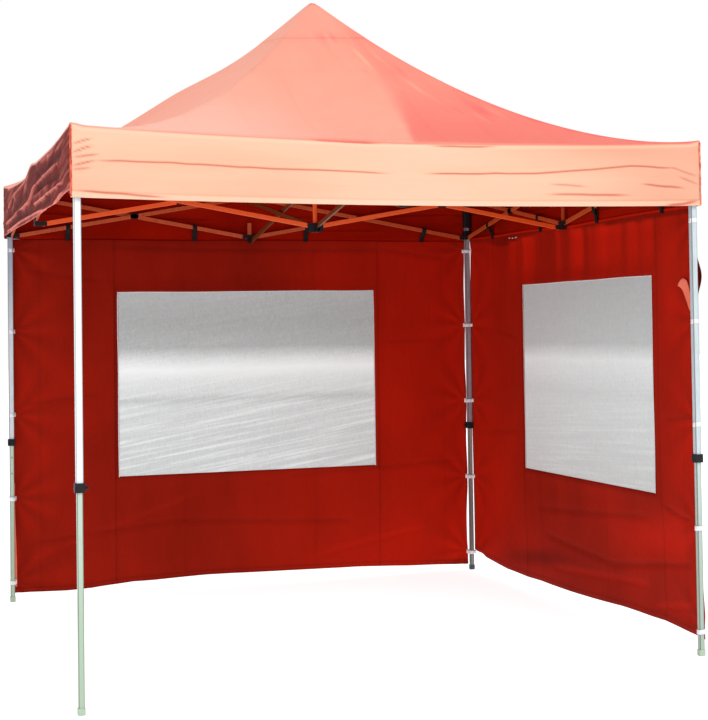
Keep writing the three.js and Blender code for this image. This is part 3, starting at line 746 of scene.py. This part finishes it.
# wall creases by side: (points (place along the side, height), half width, depth, tone); the tone is painted
# shade where it is below 0 and a painted highlight where it is above 0
WALL_CREASES = {
    2: ((((-1.44, 1.52), (-0.86, 1.50)), 0.010, 0.003, -0.18),
        (((-1.43, 0.72), (-0.2, 0.66)), 0.012, 0.004, -0.2),
        (((-0.7, 0.36), (0.5, 0.42), (1.4, 0.33)), 0.014, 0.004, -0.18),
        (((0.9, 1.22), (1.44, 1.16)), 0.012, 0.003, -0.2),
        (((0.3, 0.60), (1.40, 0.22)), 0.012, 0.004, 0.14),
        (((-1.2, 0.30), (-0.4, 0.15)), 0.014, 0.005, 0.16),
        (((-1.40, 2.03), (-0.9, 2.10), (0.2, 2.095), (0.9, 2.11)), 0.012, 0.003, -0.25),
        (((0.87, 1.90), (1.44, 1.98)), 0.012, 0.003, -0.15)),
    1: ((((-1.44, 0.62), (-1.25, 0.635), (-1.03, 0.68)), 0.010, 0.006, -0.45),
        (((-0.95, 0.60), (0.5, 0.50)), 0.014, 0.004, -0.2),
        (((-1.40, 0.42), (-0.5, 0.30), (0.4, 0.36)), 0.014, 0.006, -0.25),
        (((-0.9, 0.25), (0.3, 0.18)), 0.014, 0.006, 0.25),
        (((0.7, 0.95), (1.42, 0.90)), 0.012, 0.003, -0.2),
        (((-1.44, 1.15), (-1.08, 1.10)), 0.012, 0.004, -0.25),
        (((0.68, 1.52), (1.40, 1.60)), 0.012, 0.003, -0.18),
        (((-1.40, 0.22), (-0.9, 0.14)), 0.012, 0.006, 0.3)),
}


def wall_sheet(side):
    """Points and tone of a wall at a along the side, z up; out is away from the centre."""
    left, right, low, high = WINDOWS[side]
    seams = [s + d for s in SEAMS[side] for d in (-0.007, 0, 0.007)]
    a = marked_steps(-WALL_EDGE, WALL_EDGE, 0.016, [left, right, -1.44, 1.44, *seams])[None, :]
    hems = (0.075, WALL_TOP - 0.009, WALL_TOP - 0.018)
    rise = marked_steps(0.05, WALL_TOP, 0.0165, [low, high, *hems])[:, None]
    seed = 200 + side
    hem = np.array(RIGHT_HEM if side == 1 else BACK_HEM)
    floor_gap = np.interp(a, *hem.T) + 0.003 * field(a * 3, a * 0, seed, 2)
    top = (2.174 if side == 1 else 2.158) + 0.004 * lattice(a * 2, a * 0, seed + 1)
    if side == 1:
        top -= 0.009 * bell(a, 0.0, 0.5)
    z = rise + (floor_gap - 0.05) * (1 - smooth(rise, 0.05, low - 0.03))
    z += (top - WALL_TOP) * smooth(rise, high + 0.03, WALL_TOP)
    pull = np.zeros_like(z)
    for lower, upper in zip(STRAPS[:-1], STRAPS[1:]):
        pull += 0.007 * bell(z, (lower + upper) / 2, 0.17)
    if side == 1:
        pull = np.where(a > 0, 1.464 - np.interp(z, *np.array(FAR_EDGE).T), pull + 0.018)
    x = a - np.sign(a) * pull * smooth(np.abs(a), 1.15, WALL_EDGE)
    out = 0.0035 * field(a * 1.5, z * 1.2, seed, 3) + 0.0045
    gather = smooth(z, 1.50, 2.12)
    waves = lattice(a * 7 + 0.4 * lattice(a * 2, z, seed + 2), z * 0.5, seed + 5)
    waves += 0.5 * lattice(a * 17, z * 0.9, seed + 6)
    out += gather * 0.006 * waves * (1.2 if side == 1 else 0.35)
    out += 0.010 * bell(z, 0.2, 0.25) * (1 + lattice(a * 1.2, z, seed + 7))
    relief, tone = creases(a, z, WALL_CREASES[side])
    out += relief
    for strap in STRAPS:
        for sign in (-1, 1):
            gap = np.hypot(sign * TIED - a, z - strap)
            ray = np.arctan2(z - strap, sign * TIED - a)
            fan = np.exp(-gap / 0.16) * np.sin(9 * ray + strap * 9) * smooth(gap, 0.01, 0.08)
            out += 0.006 * fan
            # painted shade and highlights along the fan folds at the ties
            tone += 0.30 * fan
    seam_mark = sum(bell(a, s, 0.005) for s in SEAMS[side])
    frame_out = np.maximum(np.maximum(left - a, a - right), np.maximum(low - z, z - high))
    out = 0.0008 + np.maximum(out, 0.0) * smooth(frame_out, 0.014, 0.09) * (1 - 0.85 * smooth(z, 2.08, 2.14))
    out -= 0.0012 * seam_mark
    if side == 1:
        beside_leg = smooth(a, 1.36, 1.44)
        out = out * (1 - 0.85 * beside_leg) - 0.0050 * beside_leg
    tone = tone + 0.14 * field(a * 2.2, z * 1.6, seed + 9, 3) - 0.35 * seam_mark
    tone -= 0.30 * bell(frame_out, 0.022, 0.006) * (1 - smooth(frame_out, 0.03, 0.04))
    tone = tone - 0.35 * bell(z - floor_gap, 0.026, 0.006) - 0.5 * bell(z - floor_gap, 0.0, 0.007)
    for fold in (0.42, 1.30):
        tone -= 0.10 * bell(np.abs(a), fold, 0.010)
    if side == 1:
        # the valance's painted shadow above the shadow line, and painted light on the gathers below it
        edge = np.interp(a, *np.array(SHADOW_LINE).T) + 0.006 * lattice(a * 9, a * 0, seed + 11)
        lit = smooth(edge - z, -0.004, 0.006)
        tone -= 0.40 * (1 - lit)
        tone += lit * smooth(z, 1.72, 2.05) * (0.10 + 0.75 * np.maximum(0, waves + 0.15))
        # painted light over parts of the right wall
        tone = tone + 0.12 + 0.40 * smooth(a, 0.3, 1.3) + 0.24 * smooth(-a, 0.9, 1.4) * smooth(z, 0.6, 1.0)
        # painted light on a big fold low on the right wall
        wave = bell(np.hypot((a + 0.98 + 0.9 * (z - 0.5)) / 0.36, (z - 0.50) / 0.12), 0, 1)
        tone += 0.55 * wave * smooth(0.66 - 0.05 * (a + 1), z - 0.02, z + 0.02)
        out += 0.012 * wave
        # painted shade along a fold near the bottom
        tone -= 0.55 * bell(z, 0.245 - 0.12 * (a - 0.15), 0.045) * bell(a, 0.50, 0.45)
        # painted light in a patch beside the window
        tone += 0.30 * bell(a, -1.18, 0.10) * smooth(z, 1.45, 1.7) * lit
        # painted highlight along the top edge
        tone = np.where(rise > WALL_TOP - 0.010, 0.95, tone)
        # the bulge by the leg, with painted shade on it
        bulge = bell(z, 1.825, 0.085) * smooth(-a, 1.40, 1.46)
        out += 0.034 * bulge
        tone = np.clip(tone - 2.2 * bulge, -1, 1)
    else:
        # painted light: the back wall is lighter towards one end
        tone += 0.62 * smooth(-a, -0.2, 1.2)
        # painted shade at the top, under the bars, and a painted highlight low on the edge by the ties
        tone = tone - 0.22 * smooth(z, 2.06, 2.12) + 0.5 * bell(a, TIED, 0.012) * (1 - smooth(z, 0.25, 0.5))
        # painted shade at the hem's corner
        tone -= 0.6 * smooth(-a, 1.10, 1.42) * bell(z - floor_gap, 0.0, 0.035)
    return a, rise, np.stack([x, -WALL - out, z], -1), tone


def make_wall(side):
    name = SIDES[side]
    left, right, low, high = WINDOWS[side]
    a, rise, points, tone = wall_sheet(side)
    cell_a, cell_z = (a[:, 1:] + a[:, :-1]) / 2, (rise[1:] + rise[:-1]) / 2
    hole = (cell_a > left) & (cell_a < right) & (cell_z > low) & (cell_z < high)
    obj = grid_piece(f"side_wall_{name}_cloth", turned(points, side), [wall_in, wall_out], 0.0010,
                     keep=~hole, tone=tone)
    attach(obj, side)
    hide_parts(f"side_wall_{name}")

    lap = 0.012
    pa = np.linspace(left - lap, right + lap, 100)[None, :]
    pz = np.linspace(low - lap, high + lap, 72)[:, None]
    slope = 0.16 if side == 2 else -0.05
    bow = 0.0012 * np.maximum(0, field(pa * 1.1, (pz - slope * pa) * 6, 220 + side, 2) + 0.4)
    rim = np.minimum(np.minimum(pa - left, right - pa), np.minimum(pz - low, high - pz))
    pane = np.stack([pa + 0 * pz, -WALL - 0.0030 - bow * smooth(rim, 0, 0.08), pz + 0 * pa], -1)
    film = film_back if side == 2 else film_right
    window = grid_piece(f"window_{name}_film", turned(pane, side), [film, film], 0.0005)
    attach(window, side)

    corners = np.array([(left, low), (left, high), (right, high), (right, low)])
    dense = np.stack([np.interp(np.linspace(0, 3, 181), range(4), corners[:, k]) for k in (0, 1)], -1)
    shift = 0.0035 * np.stack([lattice(dense[:, 1] * 3, dense[:, 0] * 3, 240 + side + k) for k in (0, 5)], -1)
    centre = (corners[0] + corners[2]) / 2
    rings = [dense + shift + np.sign(centre - dense) * inset for inset in (-0.0035, 0.0015)]
    depth = np.full((len(rings[0]), 1), 0.0006 - WALL)
    line = np.stack([np.concatenate([ring, depth], 1)[:, [0, 2, 1]] for ring in rings], 1)
    border = grid_piece(f"window_{name}_border", turned(line, side), [tape_white, tape_white], 0.0006)
    attach(border, side)

    hangers = [make_hanger(side, i, at, lean) for i, (at, lean) in enumerate(HANGERS[side])]


def make_hanger(side, number, at, lean):
    """A black webbing loop that hangs the wall on the lower bar of the pair."""
    share = (abs(at) - MID) / SPAN
    under = min(share, 1 - share)
    bar_z = LOWER + (UPPER - LOWER) * under
    plane = -(BAR + (PLANE if share < 0.5 else -PLANE))
    wall = -WALL + 0.0035
    outer, inner = plane - 0.0085, plane + 0.0085
    section = [(wall, 2.150), (wall + 0.001, 2.185), (outer, bar_z - 0.004), (outer, bar_z + 0.017),
               (inner, bar_z + 0.017), (inner, bar_z - 0.016), (wall + 0.0045, 2.186), (wall + 0.002, 2.150)]
    path = rounded([(at + lean * (z - 2.15) / 0.1, y, z) for y, z in section], 3)
    obj = ribbon(f"{SIDES[side]}_hang_strap_{number + 1}", turned(path, side), turned((0.027, 0, 0), side),
                 webbing, 0.0014)
    attach(obj, side)
    return obj


for side in WINDOWS:
    make_wall(side)


def make_leg_loop(corner, height, tails):
    """A white hook-and-loop tie round a leg, with its tail on the wall's edge. tails are the directions
    from the leg to the walls' edges, in the plan of the corner's own quarter."""
    sx, sy = (-1 if "left" in CORNERS[corner] else 1), (-1 if "front" in CORNERS[corner] else 1)
    for number, tail in enumerate(tails):
        h, end, wall = 0.0168 + 0.0012 * number, 0.027, WALL - 0.0015
        near, far = LEG - h, LEG + h
        flat = [(LEG - end, wall), (near - 0.006, wall - 0.002), (near + 0.002, far), (far, far), (far, near),
                (near, near), (near - 0.001, LEG + h * 0.6), (LEG - end, wall - 0.002)]
        loop = rounded([(x, y, height) for x, y in flat], 2)
        if tail == "y":
            loop = loop[:, [1, 0, 2]]
        loop = loop * (sx, sy, 1)
        loop[:, 2] += 0.002 * np.sin(np.linspace(0, 6, len(loop)))
        obj = ribbon(f"{CORNERS[corner]}_tie_{round(height * 1000)}_{tail}", loop,
                     (0, 0, 0.023 - 0.003 * number), tape_white, 0.0012)
        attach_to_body(obj, f"{CORNERS[corner]}_leg")


for corner, tails in ((1, ("y",)), (2, ("x", "y")), (3, ("x",))):
    for height in STRAPS:
        make_leg_loop(corner, height - 0.013 if height > 2 else height, tails)


def make_loose_strips():
    """The loose end of binding that hangs by the front right leg."""
    long = rounded([(-1.300, 1.800), (-1.345, 1.788), (-1.382, 1.722), (-1.416, 1.658), (-1.458, 1.632)], 2)
    short = rounded([(-1.437, 1.818), (-1.446, 1.796), (-1.455, 1.772)], 2)
    strips = (("front_right_loose_strip", long, 0.064), ("front_right_strip_end", short, 0.012))
    for name, line, width in strips:
        n = len(line)
        taper = np.interp(np.linspace(0, 1, n), (0, 0.10, 0.25, 0.6, 1), (0.55, 0.95, 1.0, 0.70, 0.30))
        path = np.stack([1.4862 + 0.002 * np.sin(np.linspace(0, 5, n)), line[:, 0], line[:, 1]], -1)
        obj = ribbon(name, path, (0, -width * 0.80, width * 0.60), strip_salmon, 0.0010, taper)
        attach(obj, 1)


make_loose_strips()


def make_painted_highlights():
    """A pale strip low on the back wall's left edge, a painted highlight along the lit edge, and three white
    patches at the top of the right wall, which are painted highlights."""
    z = np.linspace(0.085, 0.70, 30)
    path = np.stack([-1.4525 + 0.003 * np.sin(z * 9), 0 * z + WALL - 0.0002, z], -1)
    taper = 0.35 + 0.65 * smooth(0.70 - z, 0.0, 0.35)
    # painted highlight along the lit edge
    made = [(ribbon("side_wall_back_lit_edge_strip", path, (0.015, 0, 0), strip_salmon, 0.0008, taper), 2)]
    for number, (y, z) in enumerate(((0.815, 2.139), (0.765, 2.136), (0.716, 2.138))):
        path = [(WALL - 0.0003, y + d, z) for d in (-0.011, 0.0, 0.011)]
        # a white painted highlight
        white_highlight = ribbon(f"side_wall_right_stitch_{number + 1}", path, (0, 0, 0.006), tape_white, 0.0008)
        made.append((white_highlight, 1))
    for obj, side in made:
        attach(obj, side)


make_painted_highlights()


# ---- carried-over frame

def paint_node(name, main, other=None, test=None):
    """Gives a CAD node its material, and another one to the faces that pass the test on their centre."""
    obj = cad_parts[name]
    mesh = obj.data
    mesh.materials.clear()
    mesh.materials.append(main)
    if other is not None:
        mesh.materials.append(other)
        for face in mesh.polygons:
            face.material_index = int(test(face.center))


# the bars and the lower joints' stub posts take the painted red light and shade colours
for i, side in enumerate(SIDES):
    for arm in ARMS:
        paint_node(f"{side}_{arm}", bar_painted_deep_shade if i % 2 == 0 else bar_painted_light)
    for bar in BARS:
        paint_node(f"{side}_{bar}", bar_painted_shade)
    paint_node(f"{side}_upper_mid_joint", nylon)
    paint_node(f"{side}_lower_mid_joint", nylon, bar_painted_shade, lambda c: c.z > LOWER_JOINT_TOP)
    corner = CORNERS[i]
    upper = (leg_white, leg_right, leg_back, leg_left)[i]
    lower = (leg_lower, leg_lower_right, leg_lower_back, leg_lower)[i]
    # the back right foot's cap has painted shade
    cap = foot_shaded if corner == "back_right" else foot_grey
    paint_node(f"{corner}_outer_leg", upper, nylon, lambda c: COLLAR[0] < c.z < COLLAR[1])
    paint_node(f"{corner}_inner_leg", lower, cap, lambda c: c.z < CAP_TOP)
    for part in ("corner_bracket", "slider", "leg_lock_pin"):
        paint_node(f"{corner}_{part}", nylon)
# the sleeve and the mast take the painted red light colour
paint_node("upper_hub", nylon, bar_painted_light, lambda c: c.z < MAST_SLEEVE_TOP)
paint_node("centre_mast", bar_painted_light, nylon, lambda c: c.z < LOWER_HUB_TOP)


# ---- black sleeves at the X pivots

def edges_of(verts):
    """The edges at the vertices, each once and in the same order each run."""
    return list(dict.fromkeys(e for v in verts for e in v.link_edges))


def block(bm, size, centre):
    """A box with its edges cut, as part of a moulding."""
    made = bmesh.ops.create_cube(bm, size=1, matrix=Matrix.Translation(centre) @ Matrix.Diagonal((*size, 1)))
    bmesh.ops.bevel(bm, geom=edges_of(made["verts"]), offset=0.0022, segments=2, affect="EDGES")


def disc(bm, radius, low, high):
    """A domed boss along y."""
    turn = Matrix.Rotation(math.radians(90), 4, "X")
    place = Matrix.Translation((0, (low + high) / 2, 0)) @ turn
    made = bmesh.ops.create_cone(bm, cap_ends=True, segments=28, radius1=radius, radius2=radius,
                                 depth=abs(high - low), matrix=place)
    rim = [e for e in edges_of(made["verts"]) if any(len(f.verts) > 4 for f in e.link_faces)]
    bmesh.ops.bevel(bm, geom=rim, offset=min(0.0015, radius * 0.3), segments=2, affect="EDGES")


def pivot_sleeve(bar):
    """A moulded sleeve round a bar at its X pivot, with a domed boss on the side away from the other bar.
    The bar's body has the bar's own name."""
    corners = np.array([v.co[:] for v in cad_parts[bar].data.vertices])
    low, high = corners.min(0), corners.max(0)
    thin = 1 if bar.split("_")[0] in ("front", "back") else 0
    if "_arm_" in bar:
        thin = 1 - thin
    run = np.linalg.svd(corners - corners.mean(0), full_matrices=False)[2][0]
    run[thin] = 0
    run = run / np.linalg.norm(run)
    centre = (low + high) / 2
    pair = 0.0 if "_arm_" in bar else math.copysign(BAR, centre[thin])
    side = 1 if centre[thin] > pair else -1
    centre[thin] = pair + side * PLANE
    bm = bmesh.new()
    block(bm, (0.048, 0.0155, 0.0275), (0, 0.0007, 0))
    block(bm, (0.020, 0.0165, 0.0310), (0, 0.0002, 0))
    disc(bm, 0.0115, 0.0070, 0.0105)
    disc(bm, 0.0050, 0.0100, 0.0125)
    outward = np.zeros(3)
    outward[thin] = side
    x, y = Vector(run), Vector(outward)
    turn = Matrix((x, y, x.cross(y))).transposed().to_4x4()
    bmesh.ops.transform(bm, matrix=Matrix.Translation(Vector(centre)) @ turn, verts=bm.verts)
    bmesh.ops.recalc_face_normals(bm, faces=bm.faces)
    mesh = bpy.data.meshes.new(f"{bar}_sleeve")
    bm.to_mesh(mesh)
    bm.free()
    mesh.materials.append(nylon)
    obj = add_object(f"{bar}_sleeve", mesh)
    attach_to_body(obj, bar)


for side in SIDES:
    for bar in ARMS + BARS:
        pivot_sleeve(f"{side}_{bar}")


# ---- floor and light

def make_stage():
    mesh = bpy.data.meshes.new("floor")
    mesh.from_pydata([(-60, -60, 0), (60, -60, 0), (60, 60, 0), (-60, 60, 0)], [], [(0, 1, 2, 3)])
    floor = add_object("floor", mesh)
    m, tree, shader, vector = new_material("floor_pale", 0.9, Specular_IOR_Level=0.1)
    tone = ramp(tree, noise(tree, vector, 0.8, 4), greys((0.3, 0.40), (0.7, 0.42)))
    tree.links.new(tone, shader.inputs["Base Color"])
    shader.inputs["Emission Color"].default_value = (1, 1, 1, 1)
    shader.inputs["Emission Strength"].default_value = 0.85
    mesh.materials.append(m)
    world = bpy.data.worlds.new("studio")
    bpy.context.scene.world = world
    world.use_nodes = True
    sky = world.node_tree.nodes["Background"].inputs
    sky["Color"].default_value = (1, 1, 1, 1)
    sky["Strength"].default_value = 1.0
    sun = bpy.data.lights.new("key", "SUN")
    sun.energy = 1.0
    sun.angle = math.radians(20)
    lamp = add_object("key", sun)
    azimuth, elevation = math.radians(-12), math.radians(40)
    to_sun = Vector((-math.sin(azimuth) * math.cos(elevation), -math.cos(azimuth) * math.cos(elevation),
                     math.sin(elevation)))
    lamp.rotation_mode = "QUATERNION"
    lamp.rotation_quaternion = to_sun.to_track_quat("Z", "Y")


make_stage()
